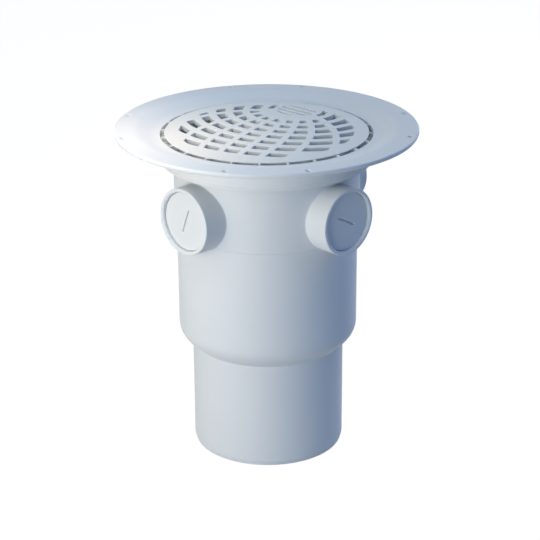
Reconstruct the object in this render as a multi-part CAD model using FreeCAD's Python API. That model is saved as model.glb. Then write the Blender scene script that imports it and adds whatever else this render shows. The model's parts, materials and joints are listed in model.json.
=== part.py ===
import FreeCAD, Part
import math
import os

# Floor drain: flanged frame with a loose grate, a body with three plugged side inlets, and a drop-in trap.
# Millimetres. Origin at the centre of the outlet's lower end, +Z up, -Y towards the front.

V = FreeCAD.Vector

# Outlet spigot and body moulding
OUTLET_R = 55.0
OUTLET_LENGTH = 79.0
SPIGOT_CHAMFER = 1.0
SPIGOT_CHAMFER_LENGTH = 3.5
WALL = 3.2
SHOULDER_STEP = 9.7
SHOULDER_SLOPE_DEG = 47.0
SHOULDER_ROUND = 28.0
LOWER_BODY_HEIGHT = 80.0
SEAM_STEP = 1.5
SEAM_CHAMFER = 0.8
SEAT_DROP = 0.6

# Side inlets: threaded sockets for screw plugs
INLET_R = 23.8
INLET_REACH = 14.2
INLET_DIP = 2.95
LEFT_BEARING_DEG = -45.8
RIGHT_BEARING_DEG = 44.3
REAR_BEARING_DEG = 135.0
INLET_RIM_ROUND = 0.8
SOCKET_WALL = 2.8
SOCKET_LEDGE = 4.0

# Screw plugs and their O-rings
PLUG_CLEARANCE = 0.3
PLUG_RECESS = 2.6
PLUG_LENGTH = 13.0
PLUG_FACE = 3.0
PLUG_WALL = 2.8
PLUG_ROUND = 0.5
GROOVE_DEPTH = 2.4
GROOVE_FROM_END = 1.6
SEAL_CLEARANCE = 0.3
COIN_SLOT_LENGTH = 18.5
COIN_SLOT_WIDTH = 1.7
COIN_SLOT_DEPTH = 1.5
LEFT_SLOT_TURN_DEG = 68.0
RIGHT_SLOT_TURN_DEG = -28.0
REAR_SLOT_TURN_DEG = 15.0

# Top frame: collar, ledge, recess and dished flange
COLLAR_CLEARANCE = 4.5
COLLAR_DEPTH = 11.8
COLLAR_WALL = 3.0
COLLAR_BEAD = 0.6
COLLAR_BEAD_HEIGHT = 2.2
SEAL_SPACE = 5.0
FRAME_SEAL_HEIGHT = 6.0
LEDGE_THICK = 3.0
THROAT_CLEARANCE = 1.0
RECESS_STEP = 0.8
RECESS_WALL = 3.0
RECESS_DEPTH = 4.2
FLANGE_WIDTH = 32.1
FLANGE_THICK = 3.2
DISH_DEPTH = 4.2
DISH_FOOT = 6.0
DISH_SLOPE = 11.0
DISH_ROUND = 14.0
RIM_ROUND = 1.2
EDGE_ROUND = 0.6

# Countersunk fixing holes, in four pairs near the rim
HOLE_R = 1.5
HOLE_SINK_R = 2.4
HOLE_INSET = 4.2
HOLE_PAIR_COUNT = 4
HOLE_PAIR_HALF_DEG = 15.3

# Grate
GRATE_GAP = 3.0
GRATE_PROUD = 0.7
GRATE_CROWN = 1.9
GRATE_WEB = 3.8
GRATE_LIP = 0.7
GRATE_LEG_INSET = 4.6
GRATE_LEG_WIDTH = 2.6
GRATE_EDGE_ROUND = 0.3
NUB_COUNT = 24
NUB_FIRST_DEG = -3.75
NUB_WIDTH = 1.5
NUB_CLEARANCE = 0.3
NUB_DROP = 0.5
NUB_HEIGHT = 3.0

# Slot net of the grate: rings about an off-centre hub, crossed by arcs that leave the hub for a far pole
NET_BORDER = 10.0
HUB_OFFSET = 51.4
HUB_BEARING_DEG = 64.1
HUB_GRID_R = 14.6
HUB_RIM = 3.6
HUB_SLOT_PITCH = 6.4
HUB_SLOT_WIDTH = 3.0
HUB_SLOT_BEARING_DEG = -45.0
RING_SLOT = 6.9
RING_BAR = 5.4
RING_COUNT = 8
FIRST_SLOT = 4.1
SPOKE_WIDTH = 4.7
SPOKE_COUNT = 8
SPOKE_STEP_DEG = 21.0
SPOKE_MIDDLE_DEG = -5.9
POLE_DISTANCE = 172.2
POLE_BEARING_DEG = -113.7
SMALLEST_SLOT_AREA = 20.0

# Odour trap: funnel with dip tube, cup on bayonet lugs, rubber edge ring
GASKET_WIDTH = 5.2
GASKET_HEIGHT = 4.0
GASKET_CLEARANCE = 0.3
PLATE_THICK = 2.0
PLATE_CLEARANCE = 0.1
PLATE_GRIP = 2.3
TRAP_WALL = 2.2
FUNNEL_RIM = 5.0
FUNNEL_HEIGHT = 18.0
TUBE_R = 27.0
CUP_GAP = 11.5
CUP_DROP = 17.0
CUP_ROUND = 14.0
WATER_SEAL = 52.0
TUBE_FLOOR_GAP = 12.0
RIB_COUNT = 4
RIB_THICK = 2.4
RIB_OVERLAP = 28.0
RIB_CLEARANCE = 0.3
LUG_RISE = 18.0
LUG_HEIGHT = 3.0
LUG_LENGTH = 3.0
LUG_WIDTH = 6.0
LIFT_BAR_WIDTH = 6.0
LIFT_BAR_HEIGHT = 7.0
LIFT_BAR_DROP = 1.5

# Bearings of the inlets from the front, and turns of the plugs' coin slots
BEARINGS = {"left": LEFT_BEARING_DEG, "right": RIGHT_BEARING_DEG, "rear": REAR_BEARING_DEG}
SLOT_TURNS = {"left": LEFT_SLOT_TURN_DEG, "right": RIGHT_SLOT_TURN_DEG, "rear": REAR_SLOT_TURN_DEG}

# Body levels and radii that follow from the sizes above
BODY_R = OUTLET_R + SHOULDER_STEP
UPPER_R = BODY_R + SEAM_STEP
SLOPE = math.radians(SHOULDER_SLOPE_DEG)
SHOULDER_Z = OUTLET_LENGTH + SHOULDER_STEP / math.tan(SLOPE)
SEAM_Z = SHOULDER_Z + LOWER_BODY_HEIGHT
SEAT_Z = SEAM_Z - SEAT_DROP
INLET_Z = SEAM_Z + INLET_R - INLET_DIP
INLET_END = UPPER_R + INLET_REACH
SOCKET_R = INLET_R - SOCKET_WALL
INLET_HOLE_R = SOCKET_R - SOCKET_LEDGE
COLLAR_LIP_Z = INLET_Z + INLET_R + COLLAR_CLEARANCE
BODY_TOP_Z = COLLAR_LIP_Z + COLLAR_DEPTH

# Frame levels and radii
COLLAR_INNER_R = UPPER_R + SEAL_SPACE
COLLAR_R = COLLAR_INNER_R + COLLAR_WALL
RECESS_R = COLLAR_R + RECESS_STEP
FLANGE_R = RECESS_R + FLANGE_WIDTH
THROAT_R = UPPER_R - WALL + THROAT_CLEARANCE
LEDGE_Z = BODY_TOP_Z + LEDGE_THICK
FLANGE_INNER_Z = LEDGE_Z + RECESS_DEPTH
FLANGE_TOP_Z = FLANGE_INNER_Z + DISH_DEPTH
HOLE_CIRCLE_R = FLANGE_R - HOLE_INSET

# Grate levels and radii
GRATE_R = RECESS_R - GRATE_GAP
GRATE_EDGE_Z = FLANGE_INNER_Z + GRATE_PROUD
LEG_R = GRATE_R - GRATE_LEG_INSET
LEG_INNER_R = LEG_R - GRATE_LEG_WIDTH
NET_R = GRATE_R - NET_BORDER
CROWN_RADIUS = (GRATE_R ** 2 + GRATE_CROWN ** 2) / (2 * GRATE_CROWN)

# Trap levels and radii
GASKET_R = UPPER_R - WALL - GASKET_CLEARANCE
GASKET_INNER_R = GASKET_R - GASKET_WIDTH
PLATE_Z = SEAT_Z + (GASKET_HEIGHT - PLATE_THICK) / 2
PLATE_R = GASKET_INNER_R + PLATE_GRIP
FUNNEL_R = PLATE_R - FUNNEL_RIM
FUNNEL_FOOT_Z = PLATE_Z - FUNNEL_HEIGHT
CUP_R = BODY_R - WALL - CUP_GAP
CUP_RIM_Z = SEAT_Z - CUP_DROP
TUBE_END_Z = CUP_RIM_Z - WATER_SEAL
CUP_FLOOR_Z = TUBE_END_Z - TUBE_FLOOR_GAP
LUG_Z = TUBE_END_Z + LUG_RISE

# Cutters reach this far past the faces that they cut
PAST = 2.0


def arc_or_line(start, middle, end):
    """Edge through three points: a circular arc, or a straight line where they are in line."""
    chord = end - start
    bow = (middle - start).cross(chord).Length / chord.Length
    if bow < 1e-4:
        return Part.LineSegment(start, end).toShape()
    return Part.Arc(start, middle, end).toShape()


def rounded_face(corners):
    """Face in the XZ plane through (r, z, round) corners, each round kept inside its two sides."""
    count = len(corners)
    points = [V(r, 0, z) for r, z, _ in corners]
    rounds = [size for _, _, size in corners]
    pieces = []
    for i in range(count):
        before = points[i - 1] - points[i]
        after = points[(i + 1) % count] - points[i]
        half_turn = (math.pi - before.getAngle(after)) / 2
        room_before = before.Length * (0.49 if rounds[i - 1] else 0.98)
        room_after = after.Length * (0.49 if rounds[(i + 1) % count] else 0.98)
        tangent = min(rounds[i] * math.tan(half_turn), room_before, room_after)
        if tangent < 1e-6:
            pieces.append((points[i], None, points[i]))
            continue
        radius = tangent / math.tan(half_turn)
        before.normalize()
        after.normalize()
        inward = before + after
        inward.normalize()
        crest = points[i] + inward * (radius / math.cos(half_turn) - radius)
        pieces.append((points[i] + before * tangent, crest, points[i] + after * tangent))
    edges = []
    for i in range(count):
        start, crest, end = pieces[i]
        if crest is not None:
            edges.append(Part.Arc(start, crest, end).toShape())
        edges.append(Part.LineSegment(end, pieces[(i + 1) % count][0]).toShape())
    return Part.Face(Part.Wire(edges))


def turned(corners):
    """Solid of revolution about Z from rounded profile corners."""
    return rounded_face(corners).revolve(V(0, 0, 0), V(0, 0, 1), 360)


def ring_of(shape, count, first_deg=0.0):
    """Copies of a shape evenly spaced about Z."""
    copies = []
    for i in range(count):
        copy = shape.copy()
        copy.rotate(V(0, 0, 0), V(0, 0, 1), first_deg + 360.0 * i / count)
        copies.append(copy)
    return copies


def disc(radius, centre):
    """Flat round face at z = 0."""
    return Part.Face(Part.Wire(Part.makeCircle(radius, centre)))


def on_inlet(shape, name):
    """Moves a shape from its own axis Z to the axis of an inlet, with its Y upwards."""
    bearing = math.radians(BEARINGS[name])
    sideways = V(math.cos(bearing), math.sin(bearing), 0)
    outward = V(math.sin(bearing), -math.cos(bearing), 0)
    moved = shape.copy()
    moved.Placement = FreeCAD.Placement(FreeCAD.Matrix(
        sideways.x, 0, outward.x, 0,
        sideways.y, 0, outward.y, 0,
        0, 1, 0, INLET_Z,
        0, 0, 0, 1))
    return moved


def inlet_stub():
    """Outside of one inlet stub, from the drain's axis to its rim."""
    return turned([
        (0, 0, 0),
        (INLET_R, 0, 0),
        (INLET_R, INLET_END, INLET_RIM_ROUND),
        (0, INLET_END, 0)])


def inlet_bore():
    """Room inside one inlet stub: plug socket, ledge and hole into the body."""
    socket_floor = INLET_END - PLUG_RECESS - PLUG_LENGTH - PLUG_CLEARANCE
    return turned([
        (0, 0, 0),
        (INLET_HOLE_R, 0, 0),
        (INLET_HOLE_R, socket_floor, 0),
        (SOCKET_R, socket_floor, 0),
        (SOCKET_R, INLET_END - INLET_RIM_ROUND, 0),
        (SOCKET_R + INLET_RIM_ROUND, INLET_END, 0),
        (SOCKET_R + INLET_RIM_ROUND, INLET_END + PAST, 0),
        (0, INLET_END + PAST, 0)])


def drain_body():
    """Body moulding: spigot, shoulder, stepped body and three inlet stubs."""
    inner_rise = WALL * math.tan(SLOPE / 2)
    outside = turned([
        (0, 0, 0),
        (OUTLET_R - SPIGOT_CHAMFER, 0, 0),
        (OUTLET_R, SPIGOT_CHAMFER_LENGTH, 0),
        (OUTLET_R, OUTLET_LENGTH, 0),
        (BODY_R, SHOULDER_Z, SHOULDER_ROUND),
        (BODY_R, SEAM_Z, 0),
        (UPPER_R, SEAM_Z + SEAM_CHAMFER, 0),
        (UPPER_R, BODY_TOP_Z, EDGE_ROUND),
        (0, BODY_TOP_Z, 0)])
    inside = turned([
        (0, -PAST, 0),
        (OUTLET_R - WALL, -PAST, 0),
        (OUTLET_R - WALL, OUTLET_LENGTH + inner_rise, 0),
        (BODY_R - WALL, SHOULDER_Z + inner_rise, SHOULDER_ROUND - WALL),
        (BODY_R - WALL, SEAT_Z, 0),
        (UPPER_R - WALL, SEAT_Z, 0),
        (UPPER_R - WALL, BODY_TOP_Z + PAST, 0),
        (0, BODY_TOP_Z + PAST, 0)])
    stubs = [on_inlet(inlet_stub(), name) for name in BEARINGS]
    bores = [on_inlet(inlet_bore(), name) for name in BEARINGS]
    return outside.fuse(stubs).cut([inside] + bores)


def plug_groove():
    """Floor radius and middle of the O-ring groove, and the O-ring's section radius, on the plug's axis."""
    floor_r = SOCKET_R - PLUG_CLEARANCE - GROOVE_DEPTH
    section_r = (SOCKET_R - floor_r) / 2 - SEAL_CLEARANCE
    plug_end = INLET_END - PLUG_RECESS - PLUG_LENGTH
    middle = plug_end + GROOVE_FROM_END + SEAL_CLEARANCE + section_r
    return floor_r, middle, section_r


def screw_plug(name):
    """Hollow screw plug with a groove near its inner end and a coin slot across its face."""
    plug_r = SOCKET_R - PLUG_CLEARANCE
    face = INLET_END - PLUG_RECESS
    end = face - PLUG_LENGTH
    floor_r, middle, section_r = plug_groove()
    half = section_r + SEAL_CLEARANCE
    hollow_r = floor_r - PLUG_WALL
    plug = turned([
        (0, face, 0),
        (plug_r, face, PLUG_ROUND),
        (plug_r, middle + half, 0),
        (floor_r, middle + half, 0),
        (floor_r, middle - half, 0),
        (plug_r, middle - half, 0),
        (plug_r, end, PLUG_ROUND),
        (hollow_r, end, 0),
        (hollow_r, face - PLUG_FACE, PLUG_ROUND),
        (0, face - PLUG_FACE, 0)])
    corner = V(-COIN_SLOT_LENGTH / 2, -COIN_SLOT_WIDTH / 2, face - COIN_SLOT_DEPTH)
    slot = Part.makeBox(COIN_SLOT_LENGTH, COIN_SLOT_WIDTH, COIN_SLOT_DEPTH + PAST, corner)
    slot.rotate(V(0, 0, 0), V(0, 0, 1), SLOT_TURNS[name])
    return on_inlet(plug.cut(slot), name)


def plug_seal(name):
    """O-ring in a plug's groove."""
    floor_r, middle, section_r = plug_groove()
    ring = Part.makeTorus((SOCKET_R + floor_r) / 2, section_r, V(0, 0, middle))
    return on_inlet(Part.makeSolid(ring.Shells[0]), name)


def fixing_hole():
    """Countersunk hole through the flange, on the X axis."""
    sink_depth = HOLE_SINK_R - HOLE_R
    hole = turned([
        (0, -FLANGE_THICK - PAST, 0),
        (HOLE_R, -FLANGE_THICK - PAST, 0),
        (HOLE_R, -sink_depth, 0),
        (HOLE_SINK_R, 0, 0),
        (HOLE_SINK_R, PAST, 0),
        (0, PAST, 0)])
    hole.translate(V(HOLE_CIRCLE_R, 0, FLANGE_TOP_Z))
    return hole


def top_frame():
    """Frame moulding: ledge and recess for the grate, dished flange, collar with a beaded lip."""
    recess_outer_r = RECESS_R + RECESS_WALL
    slope_foot_r = RECESS_R + DISH_FOOT
    slope_top_r = slope_foot_r + DISH_SLOPE
    bead_r = COLLAR_R + COLLAR_BEAD
    bead_top_z = COLLAR_LIP_Z + COLLAR_BEAD_HEIGHT
    frame = turned([
        (THROAT_R, LEDGE_Z, EDGE_ROUND),
        (RECESS_R, LEDGE_Z, 0),
        (RECESS_R, FLANGE_INNER_Z, EDGE_ROUND),
        (slope_foot_r, FLANGE_INNER_Z, DISH_ROUND),
        (slope_top_r, FLANGE_TOP_Z, DISH_ROUND),
        (FLANGE_R, FLANGE_TOP_Z, RIM_ROUND),
        (FLANGE_R, FLANGE_TOP_Z - FLANGE_THICK, RIM_ROUND),
        (slope_top_r, FLANGE_TOP_Z - FLANGE_THICK, DISH_ROUND),
        (slope_foot_r, FLANGE_INNER_Z - FLANGE_THICK, DISH_ROUND),
        (recess_outer_r, FLANGE_INNER_Z - FLANGE_THICK, EDGE_ROUND),
        (COLLAR_R, BODY_TOP_Z - EDGE_ROUND, EDGE_ROUND),
        (COLLAR_R, bead_top_z, 0),
        (bead_r, bead_top_z - COLLAR_BEAD, 0),
        (bead_r, COLLAR_LIP_Z, EDGE_ROUND),
        (COLLAR_INNER_R, COLLAR_LIP_Z, EDGE_ROUND),
        (COLLAR_INNER_R, BODY_TOP_Z, 0),
        (THROAT_R, BODY_TOP_Z, EDGE_ROUND)])
    holes = []
    for side in (-1, 1):
        holes += ring_of(fixing_hole(), HOLE_PAIR_COUNT, side * HOLE_PAIR_HALF_DEG)
    return frame.cut(holes)


def frame_seal():
    """Rubber ring between the collar and the body."""
    seal_inner_r = UPPER_R + SEAL_CLEARANCE
    seal_r = COLLAR_INNER_R - SEAL_CLEARANCE
    foot_z = COLLAR_LIP_Z + (COLLAR_DEPTH - FRAME_SEAL_HEIGHT) / 2
    return turned([
        (seal_inner_r, foot_z, EDGE_ROUND),
        (seal_r, foot_z, EDGE_ROUND),
        (seal_r, foot_z + FRAME_SEAL_HEIGHT, EDGE_ROUND),
        (seal_inner_r, foot_z + FRAME_SEAL_HEIGHT, EDGE_ROUND)])


def crown_z(radius):
    """Height of the grate's crowned top at a radius."""
    return GRATE_EDGE_Z + GRATE_CROWN - CROWN_RADIUS + math.sqrt(CROWN_RADIUS ** 2 - radius ** 2)


def grate_plate():
    """Crowned disc with a thin lip and a leg ring, set back from the lip, that stands on the ledge."""
    lip_z = GRATE_EDGE_Z - GRATE_LIP
    round_r = GRATE_R - GRATE_EDGE_ROUND
    round_z = GRATE_EDGE_Z - GRATE_EDGE_ROUND
    turn = GRATE_EDGE_ROUND * (1 - math.sqrt(0.5))
    top = Part.Arc(
        V(0, 0, crown_z(0)),
        V(round_r / 2, 0, crown_z(round_r / 2)),
        V(round_r, 0, crown_z(round_r))).toShape()
    edge = Part.Arc(
        V(round_r, 0, crown_z(round_r)),
        V(GRATE_R - turn, 0, GRATE_EDGE_Z - turn),
        V(GRATE_R, 0, round_z)).toShape()
    below = Part.Arc(
        V(LEG_INNER_R, 0, crown_z(LEG_INNER_R) - GRATE_WEB),
        V(LEG_INNER_R / 2, 0, crown_z(LEG_INNER_R / 2) - GRATE_WEB),
        V(0, 0, crown_z(0) - GRATE_WEB)).toShape()
    foot = Part.makePolygon([
        V(GRATE_R, 0, round_z),
        V(GRATE_R, 0, lip_z),
        V(LEG_R, 0, lip_z),
        V(LEG_R, 0, LEDGE_Z),
        V(LEG_INNER_R, 0, LEDGE_Z),
        V(LEG_INNER_R, 0, crown_z(LEG_INNER_R) - GRATE_WEB)])
    axis = Part.LineSegment(V(0, 0, crown_z(0) - GRATE_WEB), V(0, 0, crown_z(0))).toShape()
    profile = Part.Face(Part.Wire([top, edge] + foot.Edges + [below, axis]))
    return profile.revolve(V(0, 0, 0), V(0, 0, 1), 360)


def net_hub():
    """Centre of the grate's slot net."""
    bearing = math.radians(HUB_BEARING_DEG)
    return V(HUB_OFFSET * math.cos(bearing), HUB_OFFSET * math.sin(bearing), 0)


def spoke_edge_point(leave, reach, side):
    """Point on one edge of a spoke, at a distance from the hub.

    The spoke is an arc through the hub and the far pole: it leaves the hub at the angle leave from
    the line to that pole, and its chord turns by half of what its tangent turns.
    """
    turned_by = math.asin(reach * math.sin(leave) / POLE_DISTANCE)
    chord = math.radians(POLE_BEARING_DEG) + leave - turned_by
    normal = chord - turned_by + math.pi / 2
    offset = side * SPOKE_WIDTH / 2
    return net_hub() + V(
        reach * math.cos(chord) + offset * math.cos(normal),
        reach * math.sin(chord) + offset * math.sin(normal), 0)


def spoke(leave):
    """Flat face of one spoke of the net, from inside the hub's rim to past the border."""
    reaches = [HUB_GRID_R, HUB_OFFSET, HUB_OFFSET + NET_R + PAST]
    near = [spoke_edge_point(leave, reach, 1) for reach in reaches]
    far = [spoke_edge_point(leave, reach, -1) for reach in reversed(reaches)]
    return Part.Face(Part.Wire([
        arc_or_line(*near),
        Part.LineSegment(near[2], far[0]).toShape(),
        arc_or_line(*far),
        Part.LineSegment(far[2], near[0]).toShape()]))


def net_slots():
    """Faces of the slots between the rings and spokes, inside the plain border."""
    hub = net_hub()
    solid_parts = [disc(HUB_GRID_R + HUB_RIM, hub)]
    bar_inner_r = HUB_GRID_R + HUB_RIM + FIRST_SLOT
    for _ in range(RING_COUNT):
        solid_parts.append(disc(bar_inner_r + RING_BAR, hub).cut(disc(bar_inner_r, hub)))
        bar_inner_r += RING_BAR + RING_SLOT
    middle = (SPOKE_COUNT - 1) / 2
    for i in range(SPOKE_COUNT):
        solid_parts.append(spoke(math.radians(SPOKE_MIDDLE_DEG + SPOKE_STEP_DEG * (i - middle))))
    field = disc(NET_R, V(0, 0, 0)).cut(solid_parts)
    return [face for face in field.Faces if face.Area > SMALLEST_SLOT_AREA]


def hub_slots():
    """Faces of the parallel slots inside the hub."""
    hub = net_hub()
    grid = disc(HUB_GRID_R, hub).common(disc(NET_R, V(0, 0, 0)))
    count = int((HUB_GRID_R - HUB_SLOT_WIDTH / 2) / HUB_SLOT_PITCH)
    slots = []
    for i in range(-count, count + 1):
        corner = V(-HUB_GRID_R, i * HUB_SLOT_PITCH - HUB_SLOT_WIDTH / 2, 0)
        strip = Part.makePlane(2 * HUB_GRID_R, HUB_SLOT_WIDTH, corner)
        strip.rotate(V(0, 0, 0), V(0, 0, 1), HUB_SLOT_BEARING_DEG)
        strip.translate(hub)
        slots += strip.common(grid).Faces
    return [face for face in slots if face.Area > SMALLEST_SLOT_AREA]


def spacer_nub():
    """Small rib from the leg out past the lip, which centres the grate in the recess, on the X axis."""
    root_r = (LEG_R + LEG_INNER_R) / 2
    length = RECESS_R - NUB_CLEARANCE - root_r
    foot_z = GRATE_EDGE_Z - NUB_DROP - NUB_HEIGHT
    return Part.makeBox(length, NUB_WIDTH, NUB_HEIGHT, V(root_r, -NUB_WIDTH / 2, foot_z))


def grate():
    """Crowned grate with its net of slots and its spacer nubs."""
    height = crown_z(0) - LEDGE_Z + 2 * PAST
    cutters = []
    for face in net_slots() + hub_slots():
        face.translate(V(0, 0, LEDGE_Z - PAST))
        cutters.append(face.extrude(V(0, 0, height)))
    nubs = ring_of(spacer_nub(), NUB_COUNT, NUB_FIRST_DEG)
    return grate_plate().fuse(nubs).cut(cutters)


def trap_gasket():
    """Rubber ring round the edge of the trap's plate, standing on the seat in the body."""
    top_z = SEAT_Z + GASKET_HEIGHT
    groove_r = PLATE_R + PLATE_CLEARANCE
    return turned([
        (GASKET_INNER_R, SEAT_Z, 0),
        (GASKET_R, SEAT_Z, 0),
        (GASKET_R, top_z, EDGE_ROUND),
        (GASKET_INNER_R, top_z, 0),
        (GASKET_INNER_R, PLATE_Z + PLATE_THICK + PLATE_CLEARANCE, 0),
        (groove_r, PLATE_Z + PLATE_THICK + PLATE_CLEARANCE, 0),
        (groove_r, PLATE_Z - PLATE_CLEARANCE, 0),
        (GASKET_INNER_R, PLATE_Z - PLATE_CLEARANCE, 0)])


def trap_funnel():
    """Funnel and dip tube with bayonet lugs, and a bar to lift it by."""
    plate_top_z = PLATE_Z + PLATE_THICK
    shell = turned([
        (PLATE_R, PLATE_Z, 0),
        (PLATE_R, plate_top_z, 0),
        (FUNNEL_R, plate_top_z, EDGE_ROUND),
        (TUBE_R - TRAP_WALL, FUNNEL_FOOT_Z + PLATE_THICK, TRAP_WALL),
        (TUBE_R - TRAP_WALL, TUBE_END_Z, 0),
        (TUBE_R, TUBE_END_Z, 0),
        (TUBE_R, FUNNEL_FOOT_Z, TRAP_WALL),
        (FUNNEL_R, PLATE_Z, EDGE_ROUND)])
    filled = turned([
        (0, FUNNEL_FOOT_Z, 0),
        (TUBE_R, FUNNEL_FOOT_Z, 0),
        (FUNNEL_R, PLATE_Z, 0),
        (FUNNEL_R, plate_top_z, 0),
        (0, plate_top_z, 0)])
    bar_foot_z = plate_top_z - LIFT_BAR_DROP - LIFT_BAR_HEIGHT
    bar = Part.makeBox(
        2 * FUNNEL_R, LIFT_BAR_WIDTH, LIFT_BAR_HEIGHT, V(-FUNNEL_R, -LIFT_BAR_WIDTH / 2, bar_foot_z))
    lug = Part.makeBox(
        LUG_LENGTH + TRAP_WALL / 2, LUG_WIDTH, LUG_HEIGHT, V(TUBE_R - TRAP_WALL / 2, -LUG_WIDTH / 2, LUG_Z))
    return shell.fuse([bar.common(filled)] + ring_of(lug, RIB_COUNT, 180.0 / RIB_COUNT))


def trap_cup():
    """Cup that holds the water seal, with ribs that hang on the dip tube's lugs."""
    floor_under_z = CUP_FLOOR_Z - TRAP_WALL
    shell = turned([
        (0, floor_under_z, 0),
        (CUP_R, floor_under_z, CUP_ROUND),
        (CUP_R, CUP_RIM_Z, EDGE_ROUND),
        (CUP_R - TRAP_WALL, CUP_RIM_Z, EDGE_ROUND),
        (CUP_R - TRAP_WALL, CUP_FLOOR_Z, CUP_ROUND - TRAP_WALL),
        (0, CUP_FLOOR_Z, 0)])
    rib_inner_r = TUBE_R + RIB_CLEARANCE
    rib_top_z = TUBE_END_Z + RIB_OVERLAP
    rib = Part.makeBox(
        CUP_R - TRAP_WALL / 2 - rib_inner_r, RIB_THICK, rib_top_z - TUBE_END_Z,
        V(rib_inner_r, -RIB_THICK / 2, TUBE_END_Z))
    notch = Part.makeBox(
        LUG_LENGTH, RIB_THICK + 2 * PAST, LUG_HEIGHT + RIB_CLEARANCE,
        V(rib_inner_r, -RIB_THICK / 2 - PAST, LUG_Z - RIB_CLEARANCE))
    return shell.fuse(ring_of(rib.cut(notch), RIB_COUNT, 180.0 / RIB_COUNT))


def write(name, shape):
    """Writes one piece, with its leftover seams merged, to its own file."""
    solids = [solid.removeSplitter() for solid in shape.Solids]
    piece = solids[0] if len(solids) == 1 else Part.Compound(solids)
    piece.exportStep("parts/" + name + ".step")


os.makedirs("parts", exist_ok=True)
write("grate", grate())
write("top_frame", top_frame())
write("frame_seal", frame_seal())
write("drain_body", drain_body())
for inlet in BEARINGS:
    write(inlet + "_plug", screw_plug(inlet))
    write(inlet + "_plug_seal", plug_seal(inlet))
write("trap_funnel", trap_funnel())
write("trap_cup", trap_cup())
write("trap_gasket", trap_gasket())
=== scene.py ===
"""Floor drain: dished frame with a crowned grate, body with three plugged inlets, drop-in odour trap."""
import json
import logging
import math
from collections.abc import Mapping, Sequence
from dataclasses import dataclass, field
from enum import Enum
from typing import Any

import bmesh
import bpy
from mathutils import Matrix, Vector


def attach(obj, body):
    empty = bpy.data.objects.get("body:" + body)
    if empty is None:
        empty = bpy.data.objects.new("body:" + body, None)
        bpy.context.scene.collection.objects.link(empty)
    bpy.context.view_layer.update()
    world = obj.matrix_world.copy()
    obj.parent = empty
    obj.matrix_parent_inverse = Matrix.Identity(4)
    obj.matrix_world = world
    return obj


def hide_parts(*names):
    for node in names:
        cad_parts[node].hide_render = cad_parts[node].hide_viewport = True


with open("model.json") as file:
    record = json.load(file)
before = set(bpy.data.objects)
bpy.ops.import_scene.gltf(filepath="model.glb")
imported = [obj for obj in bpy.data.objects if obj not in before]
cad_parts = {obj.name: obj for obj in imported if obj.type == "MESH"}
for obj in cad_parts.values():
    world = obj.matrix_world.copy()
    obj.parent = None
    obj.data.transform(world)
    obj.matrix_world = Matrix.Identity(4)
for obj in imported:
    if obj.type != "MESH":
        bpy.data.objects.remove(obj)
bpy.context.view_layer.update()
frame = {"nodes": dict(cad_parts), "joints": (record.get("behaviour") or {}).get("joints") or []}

log = logging.getLogger("floor_drain")

# Pieces are shaped in millimetres and brought to metres when they are finished
MM = 0.001
# Lengths under this many millimetres count as nothing
TINY = 0.0001
# Most values of a noise texture lie between these
NOISE_RANGE = {"From Min": 0.3, "From Max": 0.7}

Point = tuple[float, float]
Corner = tuple[float, float, float]
Piece = bpy.types.Object
Material = bpy.types.Material
Tree = bpy.types.NodeTree
Socket = bpy.types.NodeSocket


class Cut(Enum):
    """Ways to put two solids together."""

    JOIN = "UNION"
    CUT_AWAY = "DIFFERENCE"


class Inlet(Enum):
    """The three side inlets, named for where they are in the photograph's view."""

    LEFT = "left"
    RIGHT = "right"
    REAR = "rear"

    def place(self) -> Matrix:
        """Gives the inlet's own frame in millimetres.

        Returns:
            Matrix whose X is sideways, Y up and Z out along the inlet's axis.
        """
        turn = next(joint for joint in frame["joints"] if joint["name"] == self.value + "_plug_turn")
        outward = Vector(turn["axis"])
        height = turn["pos_m"][2] / MM
        return Matrix((
            (-outward.y, 0.0, outward.x, 0.0),
            (outward.x, 0.0, outward.y, 0.0),
            (0.0, 1.0, 0.0, height),
            (0.0, 0.0, 0.0, 1.0)))


def linear(code: str) -> tuple[float, float, float, float]:
    """Turns an sRGB hex colour into linear light.

    Args:
        code: six hex digits.

    Returns:
        Red, green, blue and an alpha of 1.
    """
    parts = [int(code[i:i + 2], 16) / 255 for i in (0, 2, 4)]
    red, green, blue = [
        part / 12.92 if part <= 0.04045 else ((part + 0.055) / 1.055) ** 2.4 for part in parts]
    return red, green, blue, 1.0


def add_node(
        tree: Tree, kind: str, values: Mapping[Any, Any] | None = None,
        links: Mapping[Any, Any] | None = None, **settings: Any) -> bpy.types.Node:
    """Adds a node with its settings, values and links.

    Args:
        tree: tree that gets the node.
        kind: Blender's name of the node type.
        values: plain values by input name or number.
        links: a socket, or a list of them, by input name or number.
        settings: the node's own properties.

    Returns:
        The new node.
    """
    node = tree.nodes.new(kind)
    for name, setting in settings.items():
        setattr(node, name, setting)
    for key, value in (values or {}).items():
        node.inputs[key].default_value = value
    for key, sockets in (links or {}).items():
        for socket in sockets if isinstance(sockets, list) else [sockets]:
            tree.links.new(socket, node.inputs[key])
    return node


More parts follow.
